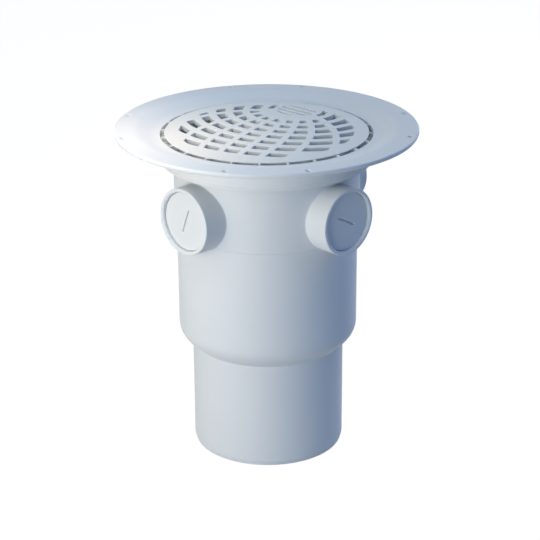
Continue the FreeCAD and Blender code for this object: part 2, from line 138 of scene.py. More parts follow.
class Value:
    """Number in a node tree that is worked with like a plain number."""

    def __init__(self, tree: Tree, socket: Socket) -> None:
        """Keeps the socket that gives the number."""
        self.tree = tree
        self.socket = socket

    def step(self, operation: str, *others: "Value | float") -> "Value":
        """Adds one arithmetic step that starts from this number.

        Args:
            operation: Blender's name of the step.
            others: the step's further numbers in order.

        Returns:
            The step's result.
        """
        plain: dict[int, float] = {}
        links = {0: self.socket}
        for i, other in enumerate(others, 1):
            if isinstance(other, Value):
                links[i] = other.socket
            else:
                plain[i] = other
        node = add_node(self.tree, "ShaderNodeMath", plain, links, operation=operation)
        return Value(self.tree, node.outputs[0])

    def __add__(self, other: "Value | float") -> "Value":
        """Adds another number."""
        return self.step("ADD", other)

    def __sub__(self, other: "Value | float") -> "Value":
        """Takes another number away."""
        return self.step("SUBTRACT", other)

    def __mul__(self, other: "Value | float") -> "Value":
        """Multiplies by another number."""
        return self.step("MULTIPLY", other)

    def __truediv__(self, other: "Value | float") -> "Value":
        """Divides by another number."""
        return self.step("DIVIDE", other)

    def __neg__(self) -> "Value":
        """Turns the sign round."""
        return self.step("MULTIPLY", -1.0)


def emptied(owner: Material | bpy.types.World) -> Tree:
    """Gives the node tree of a material or world with nothing in it."""
    owner.use_nodes = True
    owner.node_tree.nodes.clear()
    return owner.node_tree


class RuleTree:
    """Geometry node tree with named inputs that shapes an object and is then taken off it."""

    def __init__(self, name: str, numbers: Sequence[str], counts: Sequence[str] = ()) -> None:
        """Starts the tree.

        Args:
            name: what the tree makes.
            numbers: names of its sizes.
            counts: names of its whole numbers.
        """
        self.tree = bpy.data.node_groups.new(name, "GeometryNodeTree")
        kinds = {"Geometry": "NodeSocketGeometry", "Material": "NodeSocketMaterial"}
        kinds.update({number: "NodeSocketFloat" for number in numbers})
        kinds.update({count: "NodeSocketInt" for count in counts})
        self.identifiers: dict[str, str] = {}
        for label, kind in kinds.items():
            item = self.tree.interface.new_socket(label, in_out="INPUT", socket_type=kind)
            self.identifiers[label] = item.identifier
        self.tree.interface.new_socket("Geometry", in_out="OUTPUT", socket_type="NodeSocketGeometry")
        self.inputs = add_node(self.tree, "NodeGroupInput").outputs
        self.index = Value(self.tree, add_node(self.tree, "GeometryNodeInputIndex").outputs[0])
        self.position = add_node(self.tree, "GeometryNodeInputPosition").outputs[0]
        here = add_node(self.tree, "ShaderNodeSeparateXYZ", links={0: self.position})
        self.x, self.y, self.z = [Value(self.tree, part) for part in here.outputs]

    def size(self, name: str) -> Value:
        """Gives one of the tree's named inputs to work with."""
        return Value(self.tree, self.inputs[name])

    def close(self, shape: Socket) -> None:
        """Ends the tree with real geometry in one material.

        Args:
            shape: geometry that the tree has made.
        """
        real = add_node(self.tree, "GeometryNodeRealizeInstances", links={"Geometry": shape})
        dressed = add_node(self.tree, "GeometryNodeSetMaterial", links={
            "Geometry": real.outputs[0], "Material": self.inputs["Material"]})
        add_node(self.tree, "NodeGroupOutput", links={"Geometry": dressed.outputs[0]})

    def shape(self, piece: Piece, sizes: Mapping[str, Any]) -> None:
        """Runs the tree on an object and leaves a plain mesh.

        Args:
            piece: object that is shaped.
            sizes: values by input name.
        """
        modifier = piece.modifiers.new(self.tree.name, "NODES")
        modifier.node_group = self.tree
        for label, value in sizes.items():
            modifier[self.identifiers[label]] = value
        settle(piece)


def put(name: str, form: bmesh.types.BMesh) -> Piece:
    """Makes a mesh object at the origin.

    Args:
        name: piece name.
        form: shape, which is used up.

    Returns:
        The new object.
    """
    mesh = bpy.data.meshes.new(name)
    form.to_mesh(mesh)
    form.free()
    piece = bpy.data.objects.new(name, mesh)
    bpy.context.scene.collection.objects.link(piece)
    return piece


def settle(piece: Piece) -> None:
    """Turns a piece with its modifiers into a plain mesh.

    Args:
        piece: object whose modifiers are worked in and removed.
    """
    graph = bpy.context.evaluated_depsgraph_get()
    mesh = bpy.data.meshes.new_from_object(piece.evaluated_get(graph), depsgraph=graph)
    old = piece.data
    piece.modifiers.clear()
    piece.data = mesh
    bpy.data.meshes.remove(old)
    mesh.name = piece.name


def combine(base: Piece, tool: Piece, cut: Cut) -> None:
    """Joins a closed tool to a closed base or cuts it away, and removes the tool.

    Args:
        base: piece that is kept.
        tool: piece that is used up.
        cut: what is done.
    """
    modifier = base.modifiers.new(cut.name, "BOOLEAN")
    modifier.operation = cut.value
    modifier.solver = "MANIFOLD"
    modifier.object = tool
    settle(base)
    bpy.data.meshes.remove(tool.data)


def weld(base: Piece, other: Piece, reach: float) -> None:
    """Adds another open shell to a base where their edges meet, and removes it.

    Args:
        base: piece that is kept.
        other: piece that is used up.
        reach: largest gap that is closed, in millimetres.
    """
    form = bmesh.new()
    form.from_mesh(base.data)
    form.from_mesh(other.data)
    bmesh.ops.remove_doubles(form, verts=form.verts, dist=reach)
    bmesh.ops.recalc_face_normals(form, faces=form.faces)
    form.to_mesh(base.data)
    form.free()
    bpy.data.meshes.remove(other.data)


def rounded_outline(corners: Sequence[Corner], chord_deg: float = 10.0) -> list[Point]:
    """Draws a closed outline with rounded corners.

    A rounding takes nearly all of a side that it has to itself, and nearly half of a shared one.

    Args:
        corners: radius, height and rounding of each corner, in millimetres.
        chord_deg: most that a rounding turns at one point.

    Returns:
        Radius and height of each point in order.
    """
    outline: list[Point] = []
    for i, (radius, height, size) in enumerate(corners):
        here = Vector((radius, height))
        last, following = corners[i - 1], corners[(i + 1) % len(corners)]
        before = Vector(last[:2]) - here
        after = Vector(following[:2]) - here
        half_turn = (math.pi - before.angle(after)) / 2
        room = min(
            side.length * (0.49 if neighbour[2] else 0.98)
            for side, neighbour in ((before, last), (after, following)))
        tangent = min(size * math.tan(half_turn), room)
        if tangent < TINY:
            outline.append((radius, height))
            continue
        inward = (before.normalized() + after.normalized()).normalized()
        centre = here + inward * tangent / math.sin(half_turn)
        arm = here + before.normalized() * tangent - centre
        goal = here + after.normalized() * tangent - centre
        sweep = math.atan2(arm.x * goal.y - arm.y * goal.x, arm.dot(goal))
        count = max(2, math.ceil(math.degrees(abs(sweep)) / chord_deg))
        for k in range(count + 1):
            point = centre + Matrix.Rotation(sweep * k / count, 2) @ arm
            outline.append((point.x, point.y))
    return outline


def lathe(name: str, outline: Sequence[Point], segments: int = 192, closed: bool = True) -> Piece:
    """Turns an outline about the Z axis.

    Args:
        name: piece name.
        outline: radius and height of each point in order.
        segments: steps round the axis.
        closed: whether the last point is joined to the first.

    Returns:
        The turned piece.
    """
    form = bmesh.new()
    turns = [2 * math.pi * i / segments for i in range(segments)]
    rings = []
    for radius, height in outline:
        if radius < TINY:
            rings.append([form.verts.new((0, 0, height))])
            continue
        rings.append([form.verts.new((radius * math.cos(t), radius * math.sin(t), height)) for t in turns])
    pairs = list(zip(rings, rings[1:]))
    if closed:
        pairs.append((rings[-1], rings[0]))
    for lower, upper in pairs:
        for i in range(segments):
            around = [lower[i % len(lower)], lower[(i + 1) % segments % len(lower)],
                      upper[(i + 1) % segments % len(upper)], upper[i % len(upper)]]
            face = list(dict.fromkeys(around))
            if len(face) > 2:
                form.faces.new(face)
    bmesh.ops.recalc_face_normals(form, faces=form.faces)
    return put(name, form)


def skin(name: str, rows: Sequence[Sequence[Vector]], capped: bool = True) -> Piece:
    """Covers closed rows of points, each row with as many points.

    Args:
        name: piece name.
        rows: rows from one end to the other.
        capped: whether the two ends are closed.

    Returns:
        The covered piece.
    """
    form = bmesh.new()
    rings = [[form.verts.new(point) for point in row] for row in rows]
    for lower, upper in zip(rings, rings[1:]):
        for i in range(len(lower)):
            j = (i + 1) % len(lower)
            form.faces.new((lower[i], lower[j], upper[j], upper[i]))
    if capped:
        form.faces.new(rings[0])
        form.faces.new(rings[-1])
        bmesh.ops.recalc_face_normals(form, faces=form.faces)
    return put(name, form)


def finish(
        piece: Piece, material: Material, body: str, node: str,
        sharp_deg: float = 34.0) -> None:
    """Brings a piece to metres, smooths and dresses it, and sets it in place of its node.

    Args:
        piece: piece in millimetres.
        material: its finish.
        body: body that it rides on.
        node: node that it stands for.
        sharp_deg: edges that turn more than this stay crisp.
    """
    piece.data.transform(Matrix.Scale(MM, 4))
    piece.data.shade_smooth()
    piece.data.set_sharp_from_angle(angle=math.radians(sharp_deg))
    weighted = piece.modifiers.new("even_shading", "WEIGHTED_NORMAL")
    weighted.keep_sharp = True
    settle(piece)
    piece.data.materials.clear()
    piece.data.materials.append(material)
    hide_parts(node)
    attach(piece, body)
    form = bmesh.new()
    form.from_mesh(piece.data)
    loose = sum(not edge.is_manifold for edge in form.edges)
    log.info("%s: %d faces, %d open edges", piece.name, len(form.faces), loose)
    form.free()


@dataclass(frozen=True)
class Pattern:
    """Cloudy pattern in a finish: its width, how finely it breaks up, and how deep it stands."""

    width_mm: float
    detail: float
    breakup: float
    depth_mm: float = 0.0


@dataclass(frozen=True)
class Moulded:
    """What both moulded finishes share: two near colours in patches, a fine grain, a broad gloss."""

    name: str
    colour: str
    patch_colour: str
    roughness: float
    roughness_range: float
    refraction: float
    gloss: float
    patches: Pattern
    grain: Pattern
    ripple: Pattern | None = None
    # The gloss varies with the patches instead of the grain
    dull_patches: bool = False

    def make(self) -> Material:
        """Builds the material.

        Returns:
            Material on object coordinates.
        """
        material = bpy.data.materials.new(self.name)
        tree = emptied(material)
        place = add_node(tree, "ShaderNodeTexCoord").outputs["Object"]
        drawn: dict[Pattern, Socket] = {}
        relief: dict[str, Socket] = {}
        for pattern in filter(None, (self.patches, self.ripple, self.grain)):
            noise = add_node(tree, "ShaderNodeTexNoise", {
                "Scale": 1 / (pattern.width_mm * MM), "Detail": pattern.detail,
                "Roughness": pattern.breakup}, {"Vector": place})
            drawn[pattern] = noise.outputs["Fac"]
            if pattern.depth_mm:
                bump = add_node(
                    tree, "ShaderNodeBump", {"Strength": 1.0, "Distance": pattern.depth_mm * MM},
                    {"Height": drawn[pattern], **relief})
                relief = {"Normal": bump.outputs[0]}
        colour = add_node(
            tree, "ShaderNodeMix", {6: linear(self.colour), 7: linear(self.patch_colour)},
            {0: drawn[self.patches]}, data_type="RGBA")
        dull = add_node(tree, "ShaderNodeMapRange", {
            **NOISE_RANGE, "To Min": self.roughness - self.roughness_range,
            "To Max": self.roughness + self.roughness_range},
            {"Value": drawn[self.patches if self.dull_patches else self.grain]})
        shader = add_node(
            tree, "ShaderNodeBsdfPrincipled", {"IOR": self.refraction, "Specular IOR Level": self.gloss},
            {"Base Color": colour.outputs[2], "Roughness": dull.outputs[0], **relief})
        add_node(tree, "ShaderNodeOutputMaterial", links={"Surface": shader.outputs[0]})
        return material


@dataclass(frozen=True)
class MouldedPlastic(Moulded):
    """White or grey polypropylene, injection moulded in a spark-eroded tool.

    The eye sees an even pale colour with faint cloudy flow marks, a broad soft gloss, and a fine
    dull grain that only shows close up.
    """

    roughness_range: float = 0.05
    refraction: float = 1.49
    gloss: float = 0.35
    patches: Pattern = Pattern(38.0, 4.0, 0.55)
    # The real grain is about 0.1 mm; it is drawn coarser so that it shows
    grain: Pattern = Pattern(0.45, 2.0, 0.6, 0.012)
    # Slow ripple of a wall that cooled unevenly
    ripple: Pattern | None = Pattern(22.0, 1.0, 0.4, 0.05)


@dataclass(frozen=True)
class MouldedRubber(Moulded):
    """Black EPDM rubber, pressed in a plain steel mould.

    The eye sees a dull near-black with a little bloom that greys it in patches.
    """

    roughness_range: float = 0.08
    refraction: float = 1.52
    gloss: float = 0.5
    patches: Pattern = Pattern(6.0, 5.0, 0.6)
    grain: Pattern = Pattern(0.3, 2.0, 0.5, 0.02)
    dull_patches: bool = True


class RingArray:
    """Rule that repeats a shape evenly about the Z axis."""

    def __init__(self) -> None:
        """Builds the tree."""
        self.rule = RuleTree("ring_array", ["First turn"], ["Count"])
        tree, inputs = self.rule.tree, self.rule.inputs
        spots = add_node(tree, "GeometryNodeMeshLine", {"Offset": (0, 0, 0)}, {"Count": inputs["Count"]})
        share = self.rule.index / self.rule.size("Count")
        turn = share * (2 * math.pi) + self.rule.size("First turn")
        upright = add_node(tree, "ShaderNodeCombineXYZ", links={"Z": turn.socket})
        copies = add_node(tree, "GeometryNodeInstanceOnPoints", links={
            "Points": spots.outputs[0], "Instance": inputs["Geometry"], "Rotation": upright.outputs[0]})
        self.rule.close(copies.outputs[0])

    def repeat(self, piece: Piece, count: int, first_deg: float, material: Material) -> None:
        """Turns one shape into a ring of them.

        Args:
            piece: the shape, at its place on the ring.
            count: how many there are.
            first_deg: where the first one goes.
            material: their finish.
        """
        self.rule.shape(piece, {"Count": count, "First turn": math.radians(first_deg), "Material": material})


@dataclass
class DrainBody:
    """Body moulding: spigot, shoulder, stepped body and three inlet stubs."""

    material: Material
    outlet_r: float = 55.0
    outlet_length: float = 79.0
    spigot_chamfer: float = 1.0
    spigot_chamfer_length: float = 3.5
    wall: float = 3.2
    body_r: float = 64.7
    upper_r: float = 66.2
    shoulder_z: float = 88.045
    shoulder_slope_deg: float = 47.0
    shoulder_round: float = 28.0
    seam_z: float = 168.045
    seam_chamfer: float = 0.8
    seat_z: float = 167.445
    top_z: float = 228.995
    edge_round: float = 0.6
    crisp_round: float = 0.25
    stub_r: float = 23.8
    stub_start: float = 55.0
    stub_end: float = 80.4
    stub_taper: float = 3.0
    stub_rim_round: float = 0.8
    stub_segments: int = 144
    socket_r: float = 21.0
    socket_floor: float = 64.5
    hole_start: float = 20.0
    hole_r: float = 17.0
    root_round: float = 1.2
    root_sink: float = 0.05
    # The root changes over to the wider body from this far below the seam's chamfer to as far above it
    root_ease: float = 0.5
    # Cutting tools reach this far past the piece
    past: float = 2.0

    def outside(self) -> Piece:
        """Turns the outside of the body.

        Returns:
            A solid body.
        """
        return lathe("drain_body_moulding", rounded_outline([
            (0, 0, 0),
            (self.outlet_r - self.spigot_chamfer, 0, self.crisp_round),
            (self.outlet_r, self.spigot_chamfer_length, self.crisp_round),
            (self.outlet_r, self.outlet_length, self.edge_round),
            (self.body_r, self.shoulder_z, self.shoulder_round),
            (self.body_r, self.seam_z, self.crisp_round),
            (self.upper_r, self.seam_z + self.seam_chamfer, self.crisp_round),
            (self.upper_r, self.top_z, self.edge_round),
            (0, self.top_z, 0)], chord_deg=5.0))

    def inside(self) -> Piece:
        """Turns the room inside the body.

        Returns:
            A solid that is cut away.
        """
        rise = self.wall * math.tan(math.radians(self.shoulder_slope_deg) / 2)
        return lathe("body_room", rounded_outline([
            (0, -self.past, 0),
            (self.outlet_r - self.wall, -self.past, 0),
            (self.outlet_r - self.wall, self.outlet_length + rise, self.edge_round),
            (self.body_r - self.wall, self.shoulder_z + rise, self.shoulder_round - self.wall),
            (self.body_r - self.wall, self.seat_z, 0),
            (self.upper_r - self.wall, self.seat_z, 0),
            (self.upper_r - self.wall, self.top_z + self.past, 0),
            (0, self.top_z + self.past, 0)], chord_deg=5.0))

    def stub(self, inlet: Inlet, steps: int = 6) -> Piece:
        """Makes one inlet stub with a rounded root that follows the body's curve.

        Args:
            inlet: which inlet.
            steps: steps across the root's rounding.

        Returns:
            A solid stub that reaches into the body.
        """
        place = inlet.place()
        height = place.translation.z
        rim = rounded_outline([
            (0, self.stub_end, 0), (self.stub_r, self.stub_end, self.stub_rim_round),
            (self.stub_r, self.body_r, 0), (0, self.body_r, 0)])[1:-2]
        ways = []
        for i in range(self.stub_segments):
            turn = 2 * math.pi * i / self.stub_segments
            ways.append(Vector((math.cos(turn), math.sin(turn), 0)))
        rows = [[way * radius + Vector((0, 0, out)) for way in ways] for radius, out in rim]
        root: list[list[Vector]] = [[] for _ in range(steps + 1)]
        for way in ways:
            arm = self.stub_r + self.root_round
            # The root rounding rolls on the wide upper body, and on the lower one below the seam
            level = height + arm * way.y - self.seam_z + self.root_ease
            share = min(max(level / (self.seam_chamfer + 2 * self.root_ease), 0.0), 1.0)
            wall_r = self.body_r + (self.upper_r - self.body_r) * share * share * (3 - 2 * share)
            far = wall_r + self.root_round - self.root_sink
            centre = way * arm + Vector((0, 0, math.sqrt(far ** 2 - (arm * way.x) ** 2)))
            to_stub = -way
            to_body = -Vector((centre.x, 0, centre.z)).normalized()
            for k in range(steps + 1):
                aim = to_stub.slerp(to_body, k / steps)
                root[k].append(centre + aim * self.root_round)
        rows += root
        start_r = self.stub_r - self.stub_taper
        rows.append([way * start_r + Vector((0, 0, self.stub_start)) for way in ways])
        stub = skin(inlet.value + "_stub", rows)
        stub.data.transform(place)
        return stub

    def bore(self, inlet: Inlet) -> Piece:
        """Turns the room inside one stub: plug socket, ledge and hole into the body.

        Args:
            inlet: which inlet.

        Returns:
            A solid that is cut away.
        """
        mouth_r = self.socket_r + self.stub_rim_round
        bore = lathe(inlet.value + "_bore", rounded_outline([
            (0, self.hole_start, 0),
            (self.hole_r, self.hole_start, 0),
            (self.hole_r, self.socket_floor, 0),
            (self.socket_r, self.socket_floor, 0),
            (self.socket_r, self.stub_end - self.stub_rim_round, self.crisp_round),
            (mouth_r, self.stub_end, 0),
            (mouth_r, self.stub_end + self.past, 0),
            (0, self.stub_end + self.past, 0)]), self.stub_segments)
        bore.data.transform(inlet.place())
        return bore

    def build(self) -> None:
        """Joins and cuts the moulding."""
        body = self.outside()
        for inlet in Inlet:
            combine(body, self.stub(inlet), Cut.JOIN)
        combine(body, self.inside(), Cut.CUT_AWAY)
        for inlet in Inlet:
            combine(body, self.bore(inlet), Cut.CUT_AWAY)
        finish(body, self.material, "drain", "drain_body")


@dataclass
class TopFrame:
    """Frame moulding: ledge and recess for the grate, dished flange, collar with a beaded lip."""

    material: Material
    ring_array: RingArray
    throat_r: float = 64.0
    recess_r: float = 75.0
    recess_wall: float = 3.0
    flange_r: float = 107.1
    flange_thick: float = 3.2
    dish_foot: float = 6.0
    dish_slope: float = 11.0
    dish_round: float = 14.0
    rim_round: float = 1.2
    edge_round: float = 0.6
    crisp_round: float = 0.25
    collar_r: float = 74.2
    collar_inner_r: float = 71.2
    collar_bead: float = 0.6
    collar_bead_height: float = 2.2
    lip_z: float = 217.195
    body_top_z: float = 228.995
    ledge_z: float = 231.995
    inner_z: float = 236.195
    top_z: float = 240.395
    hole_r: float = 1.5
    hole_sink_r: float = 2.4
    hole_flare: float = 0.2
    hole_circle_r: float = 102.9
    hole_pairs: int = 4
    hole_half_deg: float = 15.3
    past: float = 2.0
    segments: int = 240
    hole_segments: int = 48

    def ring(self) -> Piece:
        """Turns the frame without its holes.

        Returns:
            A solid frame.
        """
        foot_r = self.recess_r + self.dish_foot
        slope_r = foot_r + self.dish_slope
        bead_r = self.collar_r + self.collar_bead
        bead_z = self.lip_z + self.collar_bead_height
        under_z = self.inner_z - self.flange_thick
        return lathe("top_frame_moulding", rounded_outline([
            (self.throat_r, self.ledge_z, self.edge_round),
            (self.recess_r, self.ledge_z, self.crisp_round),
            (self.recess_r, self.inner_z, self.edge_round),
            (foot_r, self.inner_z, self.dish_round),
            (slope_r, self.top_z, self.dish_round),
            (self.flange_r, self.top_z, self.rim_round),
            (self.flange_r, self.top_z - self.flange_thick, self.rim_round),
            (slope_r, self.top_z - self.flange_thick, self.dish_round),
            (foot_r, under_z, self.dish_round),
            (self.recess_r + self.recess_wall, under_z, self.edge_round),
            (self.collar_r, self.body_top_z - self.edge_round, self.edge_round),
            (self.collar_r, bead_z, self.crisp_round),
            (bead_r, bead_z - self.collar_bead, self.crisp_round),
            (bead_r, self.lip_z, self.edge_round),
            (self.collar_inner_r, self.lip_z, self.edge_round),
            (self.collar_inner_r, self.body_top_z, self.crisp_round),
            (self.throat_r, self.body_top_z, self.edge_round)], chord_deg=7.5), self.segments)

    def hole(self, side: int) -> Piece:
        """Makes the countersunk holes on one side of the pairs.

        Args:
            side: -1 or 1.

        Returns:
            A ring of solids that is cut away.
        """
        sink_z = self.top_z - (self.hole_sink_r - self.hole_r)
        end_z = self.top_z - 2 * self.flange_thick
        tool = lathe("flange_holes", rounded_outline([
            (0, end_z, 0),
            (self.hole_r, end_z, 0),
            (self.hole_r, sink_z, self.crisp_round),
            (self.hole_sink_r, self.top_z, self.crisp_round),
            (self.hole_sink_r + self.hole_flare, self.top_z + self.past, 0),
            (0, self.top_z + self.past, 0)]), self.hole_segments)
        tool.data.transform(Matrix.Translation((self.hole_circle_r, 0, 0)))
        self.ring_array.repeat(tool, self.hole_pairs, side * self.hole_half_deg, self.material)
        return tool

    def build(self) -> None:
        """Turns the frame and cuts its fixing holes."""
        ring = self.ring()
        for side in (-1, 1):
            combine(ring, self.hole(side), Cut.CUT_AWAY)
        finish(ring, self.material, "drain", "top_frame")


@dataclass(frozen=True)
class SlotPoint:
    """Point of a slot as it lies from the hub, with the slot's size there."""

    bearing: Value
    reach: Value
    sweep: Value
    band: Value


class SlotNet:
    """Rule that turns one rounded sleeve into the walls of every slot, and fills the plate between them.

    Rings lie about an off-centre hub. Spokes are arcs that leave the hub and would meet again at a far
    pole. A slot is what a ring gap and two spokes leave inside the plain border.
    """

    # From the top: a flat strip, four rows round the edge, and the same rows again from below
    ROWS = 10
    BEND_STEP = math.pi / 6
    # An edge of the sleeve lies on a row when it is nearer to it than this share of a step
    ON_ROW = 0.1
    # Where the border cuts a ring gap off to a point, the slot ends at this width
    TIP_WIDTH = 0.8
    # Points nearer to each other than this become one
    SAME_POINT = 0.002
    NUMBERS = (
        "Hub offset", "Hub bearing", "Hub edge", "First bar", "Ring pitch", "Ring slot", "Spoke width",
        "Spoke step", "Spoke middle", "Pole distance", "Pole lean", "Net radius", "Smallest slot",
        "Hub grid radius", "Hub slot pitch", "Hub slot width", "Hub first slot", "Hub slot bearing",
        "Edge round", "Edge strip", "Web", "Top", "Crown", "Plate radius", "Top edge radius",
        "Under edge radius")
    COUNTS = ("Ring count", "Spoke count", "Hub slot count", "Edge segments")

    def __init__(self) -> None:
        """Builds the tree."""
        self.rule = RuleTree("slot_net", self.NUMBERS, self.COUNTS)
        tree, size = self.rule.tree, self.rule.size
        sleeve = add_node(
            tree, "GeometryNodeStoreNamedAttribute", {"Name": "sleeve"},
            {"Geometry": self.rule.inputs["Geometry"], "Value": self.rule.position},
            data_type="FLOAT_VECTOR", domain="POINT").outputs[0]
        stored = add_node(
            tree, "GeometryNodeInputNamedAttribute", {"Name": "sleeve"}, data_type="FLOAT_VECTOR")
        parts = add_node(tree, "ShaderNodeSeparateXYZ", links={0: stored.outputs[0]}).outputs
        self.u, self.v, self.row = [Value(tree, part) for part in parts]
        self.spread, level = self.edge()
        self.hub_x = size("Hub offset") * size("Hub bearing").step("COSINE")
        self.hub_y = size("Hub offset") * size("Hub bearing").step("SINE")
        flats = []
        for shape, x, y in (self.net(sleeve), self.hub(sleeve)):
            place = add_node(tree, "ShaderNodeCombineXYZ", links={0: x.socket, 1: y.socket, 2: level.socket})
            flats.append(add_node(tree, "GeometryNodeSetPosition", links={
                "Geometry": shape, "Position": place.outputs[0]}).outputs[0])
        walls = add_node(tree, "GeometryNodeJoinGeometry", links={0: flats}).outputs[0]
        top = self.plate(walls, "Top edge radius", True)
        under = self.plate(walls, "Under edge radius", False)
        whole = add_node(tree, "GeometryNodeJoinGeometry", links={0: [walls, top, under]})
        self.rule.close(self.crowned(whole.outputs[0]))

    def edge(self) -> tuple[Value, Value]:
        """Works out how the sleeve's rows round the two edges of a slot.

        Returns:
            How far a point stands out from the slot's wall, and its height from the plate's top.
        """
        size = self.rule.size
        near_row = self.row.step("MINIMUM", -self.row + (self.ROWS - 1))
        bend = (near_row - 1.0).step("MAXIMUM", 0.0) * self.BEND_STEP
        flare = (-bend.step("SINE") + 1.0) * size("Edge round")
        spread = near_row.step("LESS_THAN", 0.5) * size("Edge strip") + flare
        dip = (-bend.step("COSINE") + 1.0) * size("Edge round")
        below = self.row.step("GREATER_THAN", (self.ROWS - 1) / 2)
        drop = below * (size("Web") - dip * 2.0) + dip
        return spread, -drop

    def cell(
            self, place: tuple[Value | float, Value | float, Value | float], ring: Value, column: Value,
            rounds: int) -> SlotPoint:
        """Works out a point of one slot between two rings and two spokes.

        Args:
            place: where the point is across and along the slot, from -1 to 1, and how far it stands out.
            ring: number of the ring gap.
            column: number of the gap between spokes.
            rounds: how often reach and bearing are worked out from each other.

        Returns:
            The point and the slot's size there.
        """
        size = self.rule.size
        u, v, spread = place
        across = u * 0.5 + 0.5
        along = v * 0.5 + 0.5
        ring_outer = ring * size("Ring pitch") + size("First bar")
        outer = ring_outer + spread
        inner = (ring_outer - size("Ring slot")).step("MAXIMUM", size("Hub edge")) - spread
        net = size("Net radius") + spread
        net_square = net * net
        hub = size("Hub offset")
        from_middle = column - (size("Spoke count") + 1.0) * 0.5
        leave_low = from_middle * size("Spoke step") + size("Spoke middle")
        leave_high = leave_low + size("Spoke step")
        spokes = [(leave.step("SINE"), leave + size("Pole lean"), side)
                  for leave, side in ((leave_low, 1.0), (leave_high, -1.0))]
        half = size("Spoke width") * 0.5 - spread
        # The first and the last column have a spoke on one side only, and run on to the border
        is_first = column.step("LESS_THAN", 0.5)
        is_last = column.step("GREATER_THAN", size("Spoke count") - 0.5)
        # The border cuts the ring gap off at this bearing, counted at the hub from the way to the centre
        tip = inner + self.TIP_WIDTH
        ratio = (tip * tip + hub * hub - net_square) / (tip * 2.0 * hub)
        limit = ratio.step("MAXIMUM", -1.0).step("MINIMUM", 1.0).step("ARCCOSINE")
        reach = (outer - inner) * along + inner
        for _ in range(rounds):
            edges = []
            for bow, lean, side in spokes:
                turned = (reach * bow / size("Pole distance")).step("ARCSINE")
                half_angle = half / (reach * turned.step("COSINE"))
                edges.append(lean - turned + half_angle * side)
            first = (is_first * -math.pi + edges[0]).step("MAXIMUM", -limit)
            last = (is_last * math.pi + edges[1]).step("MINIMUM", limit)
            sweep = last - first
            bearing = sweep * across + first
            aside = hub * bearing.step("SINE")
            root = (net_square - aside * aside).step("MAXIMUM", 0.0).step("SQRT")
            border = hub * bearing.step("COSINE") + root
            band = outer.step("MINIMUM", border) - inner
            reach = band * along + inner
        return SlotPoint(bearing, reach, sweep, band)

    def sleeves(
            self, sleeve: Socket, count: Value, numbers: Mapping[str, Value],
            kept: Value | None = None) -> tuple[Socket, list[Value]]:
        """Puts a sleeve on every spot of a row, and the spot's numbers on the sleeve.

        Args:
            sleeve: the sleeve that every slot starts from.
            count: how many spots there are.
            numbers: numbers of a spot by name.
            kept: which spots get a sleeve, or None for all.

        Returns:
            Real geometry, and the numbers as its points carry them.
        """
        tree = self.rule.tree
        spots = add_node(tree, "GeometryNodeMeshLine", {"Offset": (0, 0, 0)}, {"Count": count.socket})
        carried = []
        for name, number in numbers.items():
            spots = add_node(
                tree, "GeometryNodeStoreNamedAttribute", {"Name": name},
                {"Geometry": spots.outputs[0], "Value": number.socket}, data_type="FLOAT", domain="POINT")
            read = add_node(tree, "GeometryNodeInputNamedAttribute", {"Name": name}, data_type="FLOAT")
            carried.append(Value(tree, read.outputs[0]))
        links = {"Points": spots.outputs[0], "Instance": sleeve}
        if kept is not None:
            links["Selection"] = kept.socket
        copies = add_node(tree, "GeometryNodeInstanceOnPoints", links=links)
        real = add_node(tree, "GeometryNodeRealizeInstances", links={"Geometry": copies.outputs[0]})
        return real.outputs[0], carried

    def net(self, sleeve: Socket) -> tuple[Socket, Value, Value]:
        """Makes the slots between rings and spokes.

        Args:
            sleeve: the sleeve that every slot starts from.

        Returns:
            The sleeves, and where their points go on the flat plate.
        """
        size = self.rule.size
        columns = size("Spoke count") + 1.0
        ring = (self.rule.index / columns).step("FLOOR")
        column = self.rule.index.step("MODULO", columns)
        middle = self.cell((0.0, 0.0, 0.0), ring, column, 2)
        length = middle.sweep.step("MAXIMUM", 0.0) * middle.reach
        area = length * middle.band.step("MAXIMUM", 0.0)
        walls, carried = self.sleeves(
            sleeve, columns * size("Ring count"), {"ring": ring, "column": column},
            area.step("GREATER_THAN", size("Smallest slot")))
        point = self.cell((self.u, self.v, self.spread), *carried, 3)
        heading = point.bearing + (size("Hub bearing") + math.pi)
        x = point.reach * heading.step("COSINE") + self.hub_x
        y = point.reach * heading.step("SINE") + self.hub_y
        return walls, x, y

    def hub(self, sleeve: Socket) -> tuple[Socket, Value, Value]:
        """Makes the parallel slots inside the hub.

        Args:
            sleeve: the sleeve that every slot starts from.

        Returns:
            The sleeves, and where their points go on the flat plate.
        """
        size = self.rule.size
        walls, (number,) = self.sleeves(sleeve, size("Hub slot count"), {"place": self.rule.index})
        half_slot = size("Hub slot width") * 0.5 + self.spread
        side = self.v * half_slot + (number * size("Hub slot pitch") + size("Hub first slot"))
        grid = size("Hub grid radius") + self.spread
        reach = (grid * grid - side * side).step("SQRT")
        # The border's circle cuts the slots off too
        bearing = size("Hub slot bearing")
        lean = size("Hub bearing") - bearing
        hub_ahead = size("Hub offset") * lean.step("COSINE")
        aside = size("Hub offset") * lean.step("SINE") + side
        net = size("Net radius") + self.spread
        border = (net * net - aside * aside).step("SQRT") - hub_ahead
        high = reach.step("MINIMUM", border)
        low = (-reach).step("MAXIMUM", hub_ahead * -2.0 - border)
        ahead = (high - low) * (self.u * 0.5 + 0.5) + low
        cosine, sine = bearing.step("COSINE"), bearing.step("SINE")
        x = ahead * cosine + self.hub_x - side * sine
        y = ahead * sine + self.hub_y + side * cosine
        return walls, x, y

